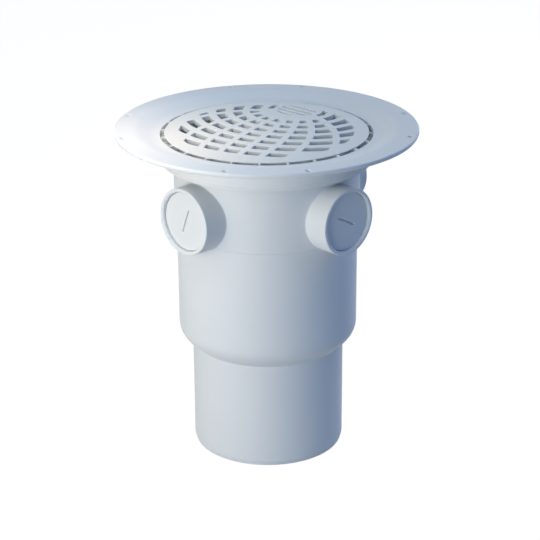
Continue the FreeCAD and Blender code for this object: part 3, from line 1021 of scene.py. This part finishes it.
    def plate(self, walls: Socket, edge: str, top: bool) -> Socket:
        """Fills one face of the flat plate between its edge and the slots.

        Args:
            walls: slot walls.
            edge: name of the edge's radius.
            top: whether this is the top face, or the one below.

        Returns:
            The flat face.
        """
        tree, inputs = self.rule.tree, self.rule.inputs
        chosen = self.row.step("LESS_THAN", self.ON_ROW)
        if not top:
            chosen = self.row.step("GREATER_THAN", self.ROWS - 1 - self.ON_ROW)
        loops = add_node(tree, "GeometryNodeMeshToCurve", links={"Mesh": walls, "Selection": chosen.socket})
        circle = add_node(tree, "GeometryNodeCurvePrimitiveCircle", links={
            "Resolution": inputs["Edge segments"], "Radius": inputs[edge]})
        outlines = add_node(
            tree, "GeometryNodeJoinGeometry", links={0: [loops.outputs[0], circle.outputs[0]]})
        face = add_node(tree, "GeometryNodeFillCurve", links={0: outlines.outputs[0]})
        if top:
            return face.outputs[0]
        flipped = add_node(tree, "GeometryNodeFlipFaces", links={"Mesh": face.outputs[0]})
        lower = add_node(tree, "ShaderNodeCombineXYZ", links={2: (-self.rule.size("Web")).socket})
        return add_node(tree, "GeometryNodeSetPosition", links={
            "Geometry": flipped.outputs[0], "Offset": lower.outputs[0]}).outputs[0]

    def crowned(self, shape: Socket) -> Socket:
        """Bows the flat plate upwards and closes its seams.

        Args:
            shape: flat plate.

        Returns:
            The crowned plate.
        """
        tree, rule = self.rule.tree, self.rule
        square = rule.y * rule.y + rule.x * rule.x
        share = square / (rule.size("Plate radius") * rule.size("Plate radius"))
        rise = rule.size("Top") - share * rule.size("Crown")
        lift = add_node(tree, "ShaderNodeCombineXYZ", links={2: rise.socket})
        bowed = add_node(
            tree, "GeometryNodeSetPosition", links={"Geometry": shape, "Offset": lift.outputs[0]})
        return add_node(
            tree, "GeometryNodeMergeByDistance", {"Distance": self.SAME_POINT},
            {"Geometry": bowed.outputs[0]}).outputs[0]


@dataclass
class Grate:
    """Crowned grate with its net of slots, a thin lip, a leg that stands on the ledge, and spacer nubs."""

    material: Material
    ring_array: RingArray
    radius: float = 72.0
    edge_z: float = 236.895
    crown: float = 1.9
    web: float = 3.8
    lip: float = 0.7
    lip_round: float = 0.15
    leg_r: float = 67.4
    leg_inner_r: float = 64.8
    edge_round: float = 0.3
    foot_round: float = 0.3
    foot_z: float = 231.995
    nub_count: int = 24
    nub_first_deg: float = -3.75
    nub_width: float = 1.5
    nub_height: float = 3.0
    nub_root_r: float = 66.1
    nub_end_r: float = 74.7
    nub_drop: float = 0.5
    nub_round: float = 0.25
    slot_round: float = 0.45
    # Flat strip round each slot, so that the plate's fill meets the edge rounding smoothly
    slot_strip: float = 0.25
    corner_share: float = 0.16
    # The plate's top ends this far inside the rim's rounding
    seam_inset: float = 0.05
    # Gaps up to this wide are closed where plate and rim meet
    seam_width: float = 0.004
    segments: int = 240
    net: dict[str, float | int] = field(default_factory=lambda: {
        "Hub offset": 51.4, "Hub bearing": math.radians(64.1), "Hub edge": 18.2, "First bar": 22.3,
        "Ring pitch": 12.3, "Ring slot": 6.9, "Ring count": 8, "Spoke width": 4.7, "Spoke count": 8,
        "Spoke step": math.radians(21.0), "Spoke middle": math.radians(-5.9), "Pole distance": 172.2,
        "Pole lean": math.radians(2.2), "Net radius": 62.0, "Smallest slot": 20.0,
        "Hub grid radius": 14.6, "Hub slot pitch": 6.4, "Hub slot width": 3.0, "Hub slot count": 4,
        "Hub first slot": -12.8, "Hub slot bearing": math.radians(-45.0)})

    def top_z(self, radius: float) -> float:
        """Gives the height of the crowned top at a radius."""
        return self.edge_z + self.crown * (1 - (radius / self.radius) ** 2)

    def seam_r(self) -> float:
        """Gives the radius where the plate's top meets the rim."""
        return self.radius - self.edge_round - self.seam_inset

    def sleeve(self, corner_steps: int = 4, side_steps: int = 6) -> Piece:
        """Makes the rounded sleeve that every slot's walls start from.

        Args:
            corner_steps: steps round each corner.
            side_steps: steps along each side.

        Returns:
            Rows of one rounded square, a unit apart.
        """
        loop: list[Point] = []
        flat = 1 - self.corner_share
        for quarter in range(4):
            turn = Matrix.Rotation(quarter * math.pi / 2, 2)
            for k in range(corner_steps + 1):
                bend = k * math.pi / 2 / corner_steps
                corner = Vector((math.cos(bend), math.sin(bend))) * self.corner_share
                loop.append(tuple(turn @ (corner + Vector((flat, flat)))))
            for k in range(1, side_steps):
                loop.append(tuple(turn @ Vector((flat - 2 * flat * k / side_steps, 1))))
        rows = [[Vector((u, v, row)) for u, v in loop] for row in range(SlotNet.ROWS)]
        return skin("grate_moulding", rows, capped=False)

    def rim(self) -> Piece:
        """Turns the rim, open where the plate joins it.

        Returns:
            An open rim.
        """
        lip_z = self.edge_z - self.lip
        outline = rounded_outline([
            (self.seam_r(), self.top_z(self.seam_r()), 0),
            (self.radius, self.edge_z, self.edge_round),
            (self.radius, lip_z, self.lip_round),
            (self.leg_r, lip_z, self.foot_round),
            (self.leg_r, self.foot_z, self.foot_round),
            (self.leg_inner_r, self.foot_z, self.foot_round),
            (self.leg_inner_r, self.top_z(self.leg_inner_r) - self.web, 0)])
        return lathe("grate_rim", outline, self.segments, closed=False)

    def nubs(self) -> Piece:
        """Makes the ring of spacer nubs.

        Returns:
            Small rounded ribs that reach into the leg.
        """
        form = bmesh.new()
        bmesh.ops.create_cube(form, size=1.0)
        top_z = self.edge_z - self.nub_drop
        low = Vector((self.nub_root_r, -self.nub_width / 2, top_z - self.nub_height))
        high = Vector((self.nub_end_r, self.nub_width / 2, top_z))
        for vertex in form.verts:
            for axis in range(3):
                vertex.co[axis] = low[axis] if vertex.co[axis] < 0 else high[axis]
        bmesh.ops.bevel(
            form, geom=form.edges, offset=self.nub_round, segments=2, profile=0.5, affect="EDGES")
        nub = put("grate_nubs", form)
        self.ring_array.repeat(nub, self.nub_count, self.nub_first_deg, self.material)
        return nub

    def build(self) -> None:
        """Makes the net, closes it with the rim and adds the nubs."""
        plate = self.sleeve()
        SlotNet().rule.shape(plate, {
            **self.net, "Edge round": self.slot_round, "Edge strip": self.slot_strip, "Web": self.web,
            "Top": self.edge_z + self.crown, "Crown": self.crown, "Plate radius": self.radius,
            "Top edge radius": self.seam_r(), "Under edge radius": self.leg_inner_r,
            "Edge segments": self.segments, "Material": self.material})
        weld(plate, self.rim(), self.seam_width)
        combine(plate, self.nubs(), Cut.JOIN)
        finish(plate, self.material, "drain", "grate")


class PlugThread:
    """Rule that presses a right-hand screw thread into the side of a turned plug."""

    # A wave this share of the depth to each side, cut flat at both ends, has flanks about 55 degrees apart
    HALF_WAVE = 0.62
    # Points this near to the plug's radius are on its side
    SIDE = 0.02
    LEAST_RADIUS = 0.001

    def __init__(self) -> None:
        """Builds the tree."""
        self.rule = RuleTree("plug_thread", ["Radius", "Pitch", "Depth", "From", "To", "Run-out"])
        tree, size = self.rule.tree, self.rule.size
        x, y, z = self.rule.x, self.rule.y, self.rule.z
        radius = (y * y + x * x).step("SQRT")
        turns = y.step("ARCTAN2", x) / (2 * math.pi)
        wave = ((z / size("Pitch") - turns) * (2 * math.pi)).step("COSINE")
        groove = (wave * self.HALF_WAVE + 0.5).step("MINIMUM", 1.0).step("MAXIMUM", 0.0)
        on_side = radius.step("GREATER_THAN", size("Radius") - self.SIDE)
        fades = []
        for end, full in (
                (size("From"), size("From") + size("Run-out")), (size("To"), size("To") - size("Run-out"))):
            fade = add_node(tree, "ShaderNodeMapRange", links={
                "Value": z.socket, "From Min": end.socket, "From Max": full.socket},
                interpolation_type="SMOOTHSTEP")
            fades.append(Value(tree, fade.outputs[0]))
        cut = groove * (fades[0] * fades[1] * on_side) * size("Depth")
        shrink = -(cut / radius.step("MAXIMUM", self.LEAST_RADIUS))
        move = add_node(tree, "ShaderNodeCombineXYZ", links={0: (x * shrink).socket, 1: (y * shrink).socket})
        self.rule.close(add_node(tree, "GeometryNodeSetPosition", links={
            "Geometry": self.rule.inputs["Geometry"], "Offset": move.outputs[0]}).outputs[0])


@dataclass
class ScrewPlug:
    """Hollow screw plug with a thread, an O-ring groove and a coin slot."""

    inlet: Inlet
    slot_turn_deg: float
    material: Material
    thread: PlugThread
    radius: float = 20.7
    face: float = 77.8
    length: float = 13.0
    face_thick: float = 3.0
    wall: float = 2.8
    edge_round: float = 0.5
    crisp_round: float = 0.15
    groove_r: float = 18.3
    groove_from: float = 66.4
    groove_to: float = 69.1
    thread_from: float = 69.5
    thread_to: float = 76.9
    thread_run_out: float = 0.9
    pitch: float = 2.309
    thread_depth: float = 1.1
    thread_rings: int = 48
    slot_length: float = 18.5
    slot_width: float = 1.7
    slot_depth: float = 1.5
    slot_flare: float = 0.2
    past: float = 1.0
    segments: int = 128

    def blank(self) -> Piece:
        """Turns the plug, with rings close enough to carry the thread.

        Returns:
            The plug on its own axis, with its thread.
        """
        end = self.face - self.length
        hollow_r = self.groove_r - self.wall
        outline = rounded_outline([
            (0, self.face, 0),
            (self.radius, self.face, self.edge_round),
            (self.radius, self.groove_to, self.crisp_round),
            (self.groove_r, self.groove_to, self.crisp_round),
            (self.groove_r, self.groove_from, self.crisp_round),
            (self.radius, self.groove_from, self.crisp_round),
            (self.radius, end, self.edge_round),
            (hollow_r, end, self.crisp_round),
            (hollow_r, self.face - self.face_thick, self.edge_round),
            (0, self.face - self.face_thick, 0)])
        above = next(i for i, (r, z) in enumerate(outline) if r > self.radius - TINY and z < self.thread_to)
        run = self.thread_from - self.thread_to
        rings = [(self.radius, self.thread_to + run * k / self.thread_rings)
                 for k in range(self.thread_rings + 1)]
        threaded = outline[:above] + rings + outline[above:]
        blank = lathe(self.inlet.value + "_screw_plug", threaded, self.segments)
        self.thread.rule.shape(blank, {
            "Radius": self.radius, "Pitch": self.pitch, "Depth": self.thread_depth, "From": self.thread_from,
            "To": self.thread_to, "Run-out": self.thread_run_out, "Material": self.material})
        return blank

    def coin_slot(self, steps: int = 8) -> Piece:
        """Makes the tool for the coin slot, with round ends and a broken edge.

        Args:
            steps: steps round each end.

        Returns:
            A solid that is cut away.
        """
        half = self.slot_width / 2
        straight = self.slot_length / 2 - half
        levels = [(self.face - self.slot_depth, 0.0), (self.face - self.slot_flare, 0.0),
                  (self.face, self.slot_flare), (self.face + self.past, self.slot_flare)]
        rows = []
        for level, flare in levels:
            row = []
            for side in (1, -1):
                for k in range(steps + 1):
                    bend = -math.pi / 2 + math.pi * k / steps
                    row.append(Vector((
                        side * (straight + (half + flare) * math.cos(bend)),
                        side * (half + flare) * math.sin(bend), level)))
            rows.append(row)
        tool = skin("coin_slot", rows)
        tool.data.transform(Matrix.Rotation(math.radians(self.slot_turn_deg), 4, "Z"))
        return tool

    def build(self) -> None:
        """Makes the plug and screws it into its inlet."""
        plug = self.blank()
        combine(plug, self.coin_slot(), Cut.CUT_AWAY)
        plug.data.transform(self.inlet.place())
        node = self.inlet.value + "_plug"
        finish(plug, self.material, node, node)


@dataclass
class HiddenParts:
    """Odour trap and seals, whose shapes are right as they come from the frame and only get their finish."""

    trap_plastic: Material
    seal_rubber: Material
    trap: tuple[str, ...] = ("trap_funnel", "trap_cup")
    seals: tuple[str, ...] = (
        "trap_gasket", "frame_seal", "left_plug_seal", "right_plug_seal", "rear_plug_seal")

    def dress(self) -> None:
        """Gives every hidden piece its finish."""
        for names, material in ((self.trap, self.trap_plastic), (self.seals, self.seal_rubber)):
            for name in names:
                node = frame["nodes"][name]
                node.data.materials.clear()
                node.data.materials.append(material)
                log.info("%s: dressed", name)


@dataclass(frozen=True)
class Lamp:
    """Round soft lamp, aimed from a bearing left of the front and a height above the level.

    A spread under 180 degrees keeps the light in a cone about its aim.
    """

    name: str
    left_deg: float
    rise_deg: float
    far: float
    size: float
    watts: float
    colour: str
    aim: tuple[float, float, float] = (0.0, 0.0, 170.0)
    spread_deg: float = 180.0

    def hang(self) -> None:
        """Puts the lamp in the scene."""
        light = bpy.data.lights.new(self.name, "AREA")
        light.shape = "DISK"
        light.size = self.size * MM
        light.spread = math.radians(self.spread_deg)
        light.energy = self.watts
        light.color = linear(self.colour)[:3]
        lamp = bpy.data.objects.new(self.name, light)
        bpy.context.scene.collection.objects.link(lamp)
        left, rise = math.radians(self.left_deg), math.radians(self.rise_deg)
        way = Vector((-math.sin(left) * math.cos(rise), -math.cos(left) * math.cos(rise), math.sin(rise)))
        turn = way.to_track_quat("Z", "Y").to_matrix().to_4x4()
        lamp.matrix_world = Matrix.Translation((Vector(self.aim) + way * self.far) * MM) @ turn


@dataclass
class Studio:
    """Pale floor, pale lamps at the left and behind, a blue one at the right, and the camera."""

    camera_at: tuple[float, float, float] = (1.776, -1183.9, 607.8)
    camera_pitch: float = 0.3829
    camera_roll: float = -0.0058
    camera_lens: float = 117.13
    camera_sensor: float = 36.0
    camera_sees_m: float = 100.0
    lamps: tuple[Lamp, ...] = (
        Lamp("low_soft_lamp", 30.0, 5.0, 1500.0, 800.0, 9.2, "E0EEFF"),
        Lamp("front_left_lamp", 50.0, 10.0, 500.0, 400.0, 0.9, "FFEED2"),
        Lamp("top_left_lamp", 62.0, 55.0, 300.0, 280.0, 0.355, "E8F4FC"),
        Lamp("rim_lamp", 72.0, 80.0, 600.0, 60.0, 0.0235, "FFDDB6", (-86.0, -28.0, 238.0), 20.0),
        Lamp("back_lamp", -140.0, 30.0, 1200.0, 1000.0, 4.84, "F3FAFF"),
        Lamp("right_lamp", -90.0, 35.0, 1500.0, 1500.0, 4.86, "5EA1FF"))
    sky: tuple[float, float, float, float] = (0.036, 0.072, 0.12, 1.0)
    floor_size: float = 16000.0
    floor_glow: float = 0.97
    # What the floor sends back to the part, and how much of its shadow shows
    floor_paper: float = 0.55
    floor_shade: float = 0.12

    def camera(self) -> None:
        """Sets up the camera at the photograph's view."""
        lens = bpy.data.cameras.new("camera")
        lens.lens = self.camera_lens
        lens.sensor_width = self.camera_sensor
        lens.clip_end = self.camera_sees_m
        camera = bpy.data.objects.new("camera", lens)
        bpy.context.scene.collection.objects.link(camera)
        tilt = Matrix.Rotation(math.pi / 2 - self.camera_pitch, 4, "X")
        roll = Matrix.Rotation(self.camera_roll, 4, "Z")
        camera.matrix_world = Matrix.Translation(Vector(self.camera_at) * MM) @ tilt @ roll
        bpy.context.scene.camera = camera

    def seen_directly(self, tree: Tree) -> Socket:
        """Tells rays from the camera, and those by way of gloss or glass, from the rest.

        Args:
            tree: tree that asks.

        Returns:
            1 for such a ray, otherwise 0.
        """
        ray = add_node(tree, "ShaderNodeLightPath").outputs
        seen = Value(tree, ray["Is Camera Ray"])
        for way in ("Is Glossy Ray", "Is Transmission Ray"):
            seen = seen.step("MAXIMUM", Value(tree, ray[way]))
        return seen.socket

    def surroundings(self) -> None:
        """Sets the cool light from all round, behind which the camera sees white."""
        world = bpy.data.worlds.new("surroundings")
        tree = emptied(world)
        sky = add_node(tree, "ShaderNodeBackground", {"Color": self.sky})
        white = add_node(tree, "ShaderNodeBackground", {"Color": (1, 1, 1, 1)})
        both = add_node(tree, "ShaderNodeMixShader", links={
            0: self.seen_directly(tree), 1: sky.outputs[0], 2: white.outputs[0]})
        add_node(tree, "ShaderNodeOutputWorld", links={"Surface": both.outputs[0]})
        bpy.context.scene.world = world

    def floor(self) -> None:
        """Lays the pale floor, which keeps a faint shadow."""
        form = bmesh.new()
        bmesh.ops.create_grid(form, x_segments=1, y_segments=1, size=self.floor_size / 2 * MM)
        floor = put("floor", form)
        material = bpy.data.materials.new("white_paper_sweep")
        tree = emptied(material)
        paper, shade = [
            add_node(tree, "ShaderNodeBsdfDiffuse", {"Color": (grey, grey, grey, 1)})
            for grey in (self.floor_paper, self.floor_shade)]
        glow = add_node(tree, "ShaderNodeEmission", {"Color": (1, 1, 1, 1), "Strength": self.floor_glow})
        lit = add_node(tree, "ShaderNodeAddShader", links={0: shade.outputs[0], 1: glow.outputs[0]})
        both = add_node(tree, "ShaderNodeMixShader", links={
            0: self.seen_directly(tree), 1: paper.outputs[0], 2: lit.outputs[0]})
        add_node(tree, "ShaderNodeOutputMaterial", links={"Surface": both.outputs[0]})
        floor.data.materials.append(material)

    def build(self) -> None:
        """Sets up everything round the drain."""
        bpy.context.scene.view_settings.view_transform = "Standard"
        self.camera()
        for lamp in self.lamps:
            lamp.hang()
        self.surroundings()
        self.floor()


def main() -> None:
    """Builds the drain piece by piece, dresses it and sets up the studio."""
    logging.basicConfig(level=logging.INFO, format="%(name)s %(message)s")
    body_plastic = MouldedPlastic("white_pp_body", "E9ECED", "E4E8EA", 0.55).make()
    frame_plastic = MouldedPlastic("white_pp_frame", "EBEDEC", "E6E9EA", 0.52).make()
    grate_plastic = MouldedPlastic("white_pp_grate", "EBECE8", "E7E8E6", 0.52).make()
    plug_plastic = MouldedPlastic("white_pp_plug", "E9EBEB", "E4E7E8", 0.55).make()
    trap_plastic = MouldedPlastic("grey_pp_trap", "B9BDC1", "B0B5BA", 0.55).make()
    seal_rubber = MouldedRubber("black_epdm_seal", "17171A", "26262A", 0.7).make()
    ring_array = RingArray()
    thread = PlugThread()
    DrainBody(body_plastic).build()
    TopFrame(frame_plastic, ring_array).build()
    Grate(grate_plastic, ring_array).build()
    for inlet, turn in ((Inlet.LEFT, 68.0), (Inlet.RIGHT, -28.0), (Inlet.REAR, 15.0)):
        ScrewPlug(inlet, turn, plug_plastic, thread).build()
    HiddenParts(trap_plastic, seal_rubber).dress()
    Studio().build()


if __name__ == "__main__":
    main()
